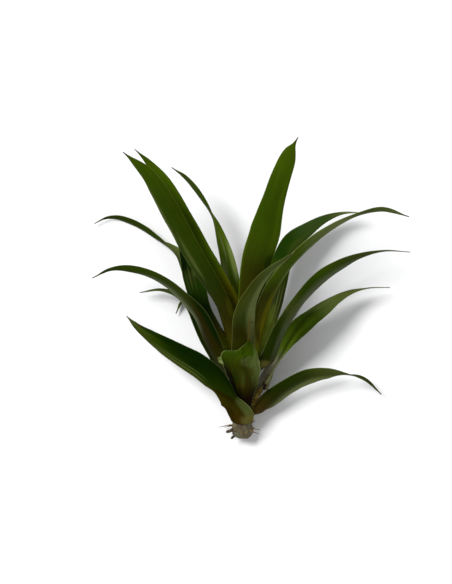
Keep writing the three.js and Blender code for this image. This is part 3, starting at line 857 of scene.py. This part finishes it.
upperRightLeaf = {
    "name": "upperRightLeaf", "node": "leaf_14", "azimuth": 65, "order": 14, "sheath": 13, "flare": 0.38,
    "widths": (12, 14),
    "rows": [
        (11, 66, 37, 14.5, 135, 78), (14.5, 79, 42, 15, 130, 66), (21, 94, 46, 15, 125, 60),
        (31, 108, 48.5, 13.5, 120, 55), (44, 121, 50, 11.5, 120, 50), (58, 131.5, 50, 9, 115, 46),
        (74, 139.7, 48, 6, 108, 42), (90, 143.5, 45, 5, 125, 36), (108, 139, 41, 1, 130, 10),
    ],
    "outer": {
        "rim": 0.8,
        "along": [
            (0, "sunGreen"), (0.12, "goldOlive"), (0.2, "warmOlive"), (0.32, "mossOlive"),
            (0.4, "freshGreen"), (0.52, "freshGreen"), (0.62, "paleSage"), (0.72, "bloomAndSheen"),
            (0.82, "sage"), (1, "paleSage"),
        ],
        # the two grey marks at the first margin are painted sheen
        "marks": [
            (0.3, 0.24, 0.3, 0.14, "ochre", 0.7), (0.02, 0.3, 0.1, 0.3, "bloomAndSheen", 0.9),
            (0.08, 0.5, 0.35, 0.22, "bloomAndSheen", 0.85), (0.9, 0.14, 0.15, 0.05, "paleSage", 0.8),
            (0.6, 0.15, 0.14, 0.04, "olive", 0.8), (0.92, 0.46, 0.2, 0.06, "greyGreen", 0.6),
        ],
    },
}

twistingLeafBehind = {
    "name": "twistingLeafBehind", "node": "leaf_15", "azimuth": -165, "order": 15, "sheath": 13,
    "flare": 0.36, "widths": (11, 12),
    "rows": [
        (-3.5, 78, 18, 11.5, 352, 60), (-7, 92, 21, 12, 352, 56), (-9, 104, 23.5, 11.3, 350, 52),
        (-10.8, 113, 25.5, 10, 346, 50), (-13.3, 121.5, 27.5, 8.4, 336, 48),
        (-15.8, 128.6, 29, 7.6, 318, 56), (-18.1, 134, 30, 7.6, 298, 74),
        (-20.6, 139.7, 31, 7.4, 275, 86), (-26.2, 149.4, 32.5, 7.4, 250, 62),
        (-31.6, 157.5, 33.5, 6.4, 240, 40), (-38.4, 165.2, 34, 4.3, 237, 28),
        (-46.3, 171, 34, 0.9, 235, 10),
    ],
    "outer": {
        "along": [
            (0, "tan"), (0.16, "warmOlive"), (0.6, "greyGreen"), (0.8, "leafGreen"), (1, "greyGreen"),
        ],
    },
    "upper": {
        "along": [(0, "limeGreen"), (0.3, "limeGreen"), (0.38, "sunGreen"), (1, "sunGreen")],
        # the pale streaks are painted sheen
        "marks": [
            (0.48, 0.54, 0.1, 0.09, "silver", 0.8), (0.1, 0.42, 0.4, 0.08, "silver", 0.8),
            (0.85, 0.47, 0.22, 0.12, "paleSheen", 0.7),
        ],
    },
}

tallLeftLeaf = {
    "name": "tallLeftLeaf", "node": "leaf_16", "azimuth": -35, "order": 16, "sheath": 11, "flare": 0.36,
    "widths": (11, 12.5),
    "rows": [
        (-10.2, 70, 40, 12.5, 216, 85), (-14.4, 82.5, 46, 13, 216, 80), (-19, 90.9, 50, 13.2, 214, 72),
        (-23.6, 99, 54, 13.2, 210, 64), (-30, 109.3, 59, 13.8, 208, 58),
        (-36.3, 120.3, 63.5, 14.1, 207, 54), (-42.1, 131.4, 67.5, 14, 207, 50),
        (-48.8, 144.3, 72, 13.8, 206, 46), (-55.9, 156.9, 76, 11.8, 206, 42),
        (-63.3, 167.9, 79, 8.7, 206, 34), (-70, 174.2, 80.5, 4.9, 206, 20),
        (-78, 181, 81.5, 0.9, 206, 10),
    ],
    "outer": {
        "rim": 0.4, "rimTone": "pistachio",
        "along": [
            (0, "warmOlive"), (0.14, "olive"), (0.24, "darkOlive"), (0.36, "darkGreen"),
            (0.5, "deepGreen"), (0.7, "deepGreen"), (0.85, "leafGreen"), (1, "freshGreen"),
        ],
        # the first sage mark, in the middle of the blade, is painted sheen
        "marks": [
            (0.66, 0.49, 0.13, 0.13, "sage", 0.8), (0.97, 0.68, 0.16, 0.22, "sage", 0.9),
            (0.08, 0.24, 0.22, 0.05, "warmOlive", 0.8), (0.95, 0.54, 0.12, 0.05, "bottleGreen", 0.7),
            (0.55, 0.2, 0.04, 0.006, "blackBrown", 0.9), (0.82, 0.16, 0.05, 0.006, "blackBrown", 0.8),
        ],
    },
}

tallLeftLeafBehind = {
    "name": "tallLeftLeafBehind", "node": "leaf_17", "azimuth": -90, "order": 17, "sheath": 9,
    "flare": 0.3, "widths": (10, 11),
    "rows": [
        (-6, 72, 29.5, 11.5, 234, 72), (-8, 84, 35, 11.5, 228, 66), (-13, 94, 40, 12, 224, 60),
        (-19.2, 104.2, 45, 12.8, 222, 56), (-24.7, 112.4, 48.5, 13.8, 220, 54),
        (-33.2, 127.5, 54, 14, 217, 50), (-39.1, 138.4, 57, 13, 215, 47),
        (-45.8, 151.3, 60, 11.7, 214, 43), (-52.9, 164, 62.5, 8.2, 212, 38),
        (-58.3, 170.6, 63.5, 6, 211, 32), (-63.8, 176.6, 64, 3.4, 210, 24),
        (-70.5, 183, 64.5, 0.9, 210, 10),
    ],
    "outer": {
        "along": [
            (0, "ochre"), (0.3, "ochre"), (0.42, "brightGreen"), (0.5, "brightGreen"),
            (0.6, "freshGreen"), (0.7, "brightGreen"), (0.8, "brightGreen"), (0.9, "freshGreen"),
            (1, "leafGreen"),
        ],
    },
}

tallMiddleLeaf = {
    "name": "tallMiddleLeaf", "node": "leaf_18", "azimuth": 5, "order": 18, "sheath": 7, "flare": 0.2,
    "widths": (9, 11),
    "rows": [
        (2, 71, 40, 14, 176, 84), (4, 82, 44, 15.5, 178, 72), (5.5, 91, 48, 17, 179, 62),
        (7.5, 104, 53.5, 19, 180, 54), (9.8, 114, 58.5, 20.2, 181, 50), (13.8, 127, 65, 20.2, 182, 48),
        (17.1, 139.9, 71, 17, 182, 45), (20.4, 151.4, 76, 14.2, 182, 42),
        (24.4, 164, 81.5, 12.8, 182, 38), (28.4, 174.9, 86, 11, 182, 34),
        (31, 181.9, 88.5, 7.2, 182, 26), (33.4, 186.3, 90, 3.2, 182, 15),
        (35.9, 190.8, 91.5, 1, 182, 10),
    ],
    "outer": {
        "rim": 0.4, "rimTone": "pistachio",
        "along": [
            (0, "darkOlive"), (0.2, "olive"), (0.38, "mossOlive"), (0.55, "leafGreen"),
            (0.75, "leafGreen"), (0.9, "freshGreen"), (1, "freshGreen"),
        ],
        "marks": [
            (0.02, 0.68, 0.28, 0.32, "freshGreen", 0.9), (0.1, 0.33, 0.2, 0.05, "sage", 0.6),
            (0.1, 0.435, 0.2, 0.045, "bottleGreen", 0.6), (1, 0.42, 0.1, 0.3, "freshGreen", 0.6),
        ],
    },
}

heartLeaf = {
    "name": "heartLeaf", "node": "leaf_19", "azimuth": 130, "order": 19, "sheath": 6, "flare": 0.2,
    "widths": (8, 8),
    "rows": [(7, 84, 25, 8.5, 60, 110), (9.5, 102, 32, 7, 70, 100), (12, 120, 40, 1, 80, 20)],
}

allLeaves = [
    lowLeftLeaf, lowRightLeaf, backLeaf, shortFrontLeaf, innerLowLeftLeaf, rightLeafLower,
    hiddenLowLeftLeaf, leftArchLeaf, rightArchLeaf, farLeftLeaf, rightLeafBehind, darkLeafBehind,
    frontBentLeaf, upperRightLeaf, twistingLeafBehind, tallLeftLeaf, tallLeftLeafBehind, tallMiddleLeaf,
    heartLeaf,
]

for leaf in allLeaves:
    seed = leaf["order"] * skinSettings["seedStep"]
    upperSkin = leafSkin(leaf["name"] + "Upper", {**plainUpper, **leaf.get("upper", {})}, seed)
    outerSkin = leafSkin(leaf["name"] + "Outer", {**plainOuter, **leaf.get("outer", {})}, seed)
    buildLeaf(leaf, upperSkin, outerSkin)
print("leaves grown:", len(allLeaves))

# small tips of sheaths that show between the leaves; corners as rows of the leaves
bractSettings = {
    "bractLeft": {
        "corners": [(-16.6, 47.4, 37), (-12.6, 48.6, 36.4), (-16.0, 44.6, 37), (-11.6, 42.0, 36.4)],
        "tones": ("silver", "sage"),
    },
    "bractRight": {
        "corners": [(8.5, 27.9, 24.8), (13.2, 26.7, 24.2), (3.9, 16.6, 18.8), (7.0, 15.4, 18.9)],
        "tones": ("tan", "bark"),
    },
    "bractBehind": {
        "corners": [(15.6, 36.6, 20.0), (19.6, 36.4, 20.4), (10.6, 27.0, 18.0), (16.2, 26.4, 18.4)],
        "tones": ("paleTan", "straw"),
    },
    "bractScrap": {
        "corners": [(13.7, 30.6, 25.4), (15.3, 29.9, 25.4), (12.4, 26.9, 25.0), (14.4, 26.2, 24.8)],
        "tones": ("umber", "liverBrown"),
    },
}
bractShape = {"bulge": 0.5, "thickness": 0.5, "cuts": 8, "patches": 300}
dryLook = {"detail": 4, "grain": 0.6, "patchEdge": (0.35, 0.65), "roughness": 0.7, "specular": 0.05}


def drySkin(name, light, dark, scale):
    # patches of two tones
    skin = SkinNodes(name)
    place = skin.node("ShaderNodeTexCoord").outputs["Object"]
    patch = skin.noise(place, scale, dryLook["detail"], dryLook["grain"])
    patch = skin.rise(patch, *dryLook["patchEdge"])
    skin.put(skin.shader.inputs["Base Color"], skin.mix(patch, linearTone(light), linearTone(dark)))
    skin.shader.inputs["Roughness"].default_value = dryLook["roughness"]
    skin.shader.inputs["Specular IOR Level"].default_value = dryLook["specular"]
    return skin.material


def buildBract(name, settings):
    a, b, c, d = (Vector(placed(*corner)) - planCentre for corner in settings["corners"])
    cuts = bractShape["cuts"]
    bm = bmesh.new()
    bmesh.ops.create_grid(bm, x_segments=cuts, y_segments=cuts, size=1)
    for vert in bm.verts:
        u, v = (vert.co.x + 1) / 2, (vert.co.y + 1) / 2
        dome = (1 - vert.co.x ** 2) * (1 - vert.co.y ** 2)
        point = c.lerp(d, u).lerp(a.lerp(b, u), v)
        point.z += bractShape["bulge"] * dome
        vert.co = point * mm
    mesh = meshFrom(bm, name)
    mesh.materials.append(drySkin(name + "Skin", *settings["tones"], bractShape["patches"]))
    piece = addPiece(name, mesh)
    wall = piece.modifiers.new("wall", "SOLIDIFY")
    wall.thickness = bractShape["thickness"] * mm
    wall.offset = 0


for name, settings in bractSettings.items():
    buildBract(name, settings)

rootSettings = {
    "count": 9,
    "seed": 7,
    "reach": (4.0, 8.5),
    "heights": (1, 5),      # on the stem
    "turn": 14,             # degrees by which a root may leave its even place
    "lean": (-0.1, 0.3),    # along the stem
    "sunk": 0.6,
    "around": 8,
    "rings": 9,
    "radius": 0.42,
    "taper": 0.75,
    "bend": 0.5,
    "sag": 0.35,
    "lowestY": -8.7,        # keeps the roots within the solid's own reach
    "lowestZ": 0.1,
    "underside": -0.5,      # roots that point further down than this are left out
    "patches": 500,
}


def buildRoot(name, start, out, reach, skin):
    # a thin bent tube, finer to its end
    bend = noise.random_vector() * rootSettings["bend"]
    side = out.cross(upright).normalized()
    over = side.cross(out)
    bm = bmesh.new()
    around, rings = rootSettings["around"], rootSettings["rings"]
    bmesh.ops.create_grid(bm, x_segments=around, y_segments=rings, size=1)
    for vert in bm.verts:
        s = (vert.co.y + 1) / 2
        turn = vert.co.x * math.pi
        radius = rootSettings["radius"] * (1 - rootSettings["taper"] * s ** 2)
        spine = start + out * (reach * s) + (bend - upright * rootSettings["sag"]) * (reach * s * s)
        point = spine + (side * math.cos(turn) + over * math.sin(turn)) * radius
        point.y = max(point.y, rootSettings["lowestY"])
        point.z = max(point.z, rootSettings["lowestZ"])
        vert.co = (point - planCentre) * mm
    bmesh.ops.remove_doubles(bm, verts=bm.verts, dist=0.002 * mm)
    mesh = meshFrom(bm, name)
    mesh.materials.append(skin)
    addPiece(name, mesh)


def buildRoots(settings):
    random.seed(settings["seed"])
    noise.seed_set(settings["seed"])
    skin = drySkin("rootSkin", "rootTan", "rootBrown", settings["patches"])
    for k in range(settings["count"]):
        azimuth = 360 * k / settings["count"] + random.uniform(-settings["turn"], settings["turn"])
        height = random.uniform(*settings["heights"])
        away = outward(azimuth)
        start = axisPoint(height) + away * (stemRadius(height) - settings["sunk"])
        out = (away + stemAxis * random.uniform(*settings["lean"])).normalized()
        if out.z < settings["underside"]:
            continue
        buildRoot(f"root{k}", start, out, random.uniform(*settings["reach"]), skin)


buildRoots(rootSettings)
print("small pieces made")

stemLook = {
    "name": "stemPiece",
    "lump": 0.45,
    "lumpScale": 260,
    "fineLump": 0.16,
    "fineScale": 900,
    "sunk": 0.3,
    "cuts": 2,
    "rounding": 0.6,
    "patches": 130,
    "patchDetail": 3,
    "patchTones": [(0.3, "stemBrown"), (0.5, "stemTan"), (0.7, "stemGreen")],
    "bark": 420,
    "barkDetail": 5,
    "barkGrain": 0.65,
    "barkRise": (0.4, 0.65, 0.65, 0),
    "barkDepth": 0.0005,    # metres
    "roughness": 0.78,
}


def stemSkin(look):
    skin = SkinNodes("stemBark")
    place = skin.node("ShaderNodeTexCoord").outputs["Object"]
    rough = skin.noise(place, look["bark"], look["barkDetail"], look["barkGrain"])
    patch = skin.noise(place, look["patches"], look["patchDetail"])
    body = skin.ramp(patch, look["patchTones"])
    body = skin.mix(skin.rise(rough, *look["barkRise"]), body, linearTone("stemShade"))
    skin.put(skin.shader.inputs["Base Color"], body)
    skin.shader.inputs["Roughness"].default_value = look["roughness"]
    skin.put(skin.shader.inputs["Normal"], skin.bump(rough, look["barkDepth"]))
    return skin.material


def buildStem(look):
    # the solid's own shape, rounded and lumpy
    bm = bmesh.new()
    bm.from_mesh(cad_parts["stem"].data)
    bmesh.ops.remove_doubles(bm, verts=bm.verts, dist=0.01 * mm)
    for _ in range(look["cuts"]):
        bmesh.ops.subdivide_edges(bm, edges=bm.edges, cuts=1, use_grid_fill=True, smooth=look["rounding"])
    bmesh.ops.recalc_face_normals(bm, faces=bm.faces)
    bm.normal_update()
    low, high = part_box("stem")
    for vert in bm.verts:
        lump = noise.noise(vert.co * look["lumpScale"]) * look["lump"]
        lump += noise.noise(vert.co * look["fineScale"]) * look["fineLump"]
        vert.co += vert.normal * (lump - look["sunk"]) * mm
        for axis in range(3):
            vert.co[axis] = min(max(vert.co[axis], low[axis]), high[axis])
    mesh = meshFrom(bm, look["name"])
    mesh.materials.append(stemSkin(look))
    addPiece(look["name"], mesh, "stem")


buildStem(stemLook)
print("stem made")

floorSettings = {
    "size": 6.0,    # metres
    "colour": (0.92, 0.92, 0.925, 1),
    "drop": 0.0002,
    "roughness": 0.9,
    "specular": 0.1,
}


def buildFloor(settings):
    bm = bmesh.new()
    bmesh.ops.create_grid(bm, x_segments=2, y_segments=2, size=settings["size"] / 2)
    bmesh.ops.translate(bm, verts=bm.verts, vec=(0, 0, -settings["drop"]))
    mesh = meshFrom(bm, "floor")
    skin = SkinNodes("palePaper")
    skin.shader.inputs["Base Color"].default_value = settings["colour"]
    skin.shader.inputs["Roughness"].default_value = settings["roughness"]
    skin.shader.inputs["Specular IOR Level"].default_value = settings["specular"]
    mesh.materials.append(skin.material)
    floor = bpy.data.objects.new("floor", mesh)
    bpy.context.scene.collection.objects.link(floor)


buildFloor(floorSettings)

lightSettings = {
    "keyStrength": 3.1,
    "keyAngle": 22,
    "keyTravel": (0.64, -0.52, -1),  # from the upper left
    "skyStops": [(0.0, 1.05), (0.45, 0.68), (0.8, 0.36), (1.0, 0.31)],  # by the sine of the elevation
    "skyTint": (0.985, 0.99, 1.0),
}


def buildLights(settings):
    lamp = bpy.data.lights.new("key", "SUN")
    lamp.energy = settings["keyStrength"]
    lamp.angle = math.radians(settings["keyAngle"])
    key = bpy.data.objects.new("key", lamp)
    key.rotation_euler = Vector(settings["keyTravel"]).to_track_quat("-Z", "Y").to_euler()
    bpy.context.scene.collection.objects.link(key)
    world = bpy.data.worlds.new("sky")
    world.use_nodes = True
    nodes, links = world.node_tree.nodes, world.node_tree.links
    height = nodes.new("ShaderNodeSeparateXYZ")
    links.new(nodes.new("ShaderNodeTexCoord").outputs["Generated"], height.inputs[0])
    # brighter toward the horizon, as in a room where the light comes from the sides
    fade = nodes.new("ShaderNodeValToRGB")
    while len(fade.color_ramp.elements) < len(settings["skyStops"]):
        fade.color_ramp.elements.new(0.5)
    for element, (place, level) in zip(fade.color_ramp.elements, settings["skyStops"]):
        element.position = place
        element.color = (*(level * c for c in settings["skyTint"]), 1)
    links.new(height.outputs[2], fade.inputs[0])
    links.new(fade.outputs[0], nodes["Background"].inputs[0])
    bpy.context.scene.world = world


def buildCamera(settings):
    lens = bpy.data.cameras.new("camera")
    eye = settings["eye"]
    lens.sensor_width = settings["sensor"]
    lens.lens = settings["sensor"] * (eye[2] - settings["level"]) / settings["frameHeight"]
    lens.clip_end = settings["farClip"]
    camera = bpy.data.objects.new("camera", lens)
    centre = stemSettings["planCentre"]
    camera.location = ((eye[0] - centre[0]) * mm, (eye[1] - centre[1]) * mm, eye[2] * mm)
    bpy.context.scene.collection.objects.link(camera)
    bpy.context.scene.camera = camera


buildLights(lightSettings)
buildCamera(viewSettings)
bpy.context.scene.view_settings.view_transform = "Standard"
bpy.context.scene.view_settings.look = "None"
print("floor, lights and camera set")
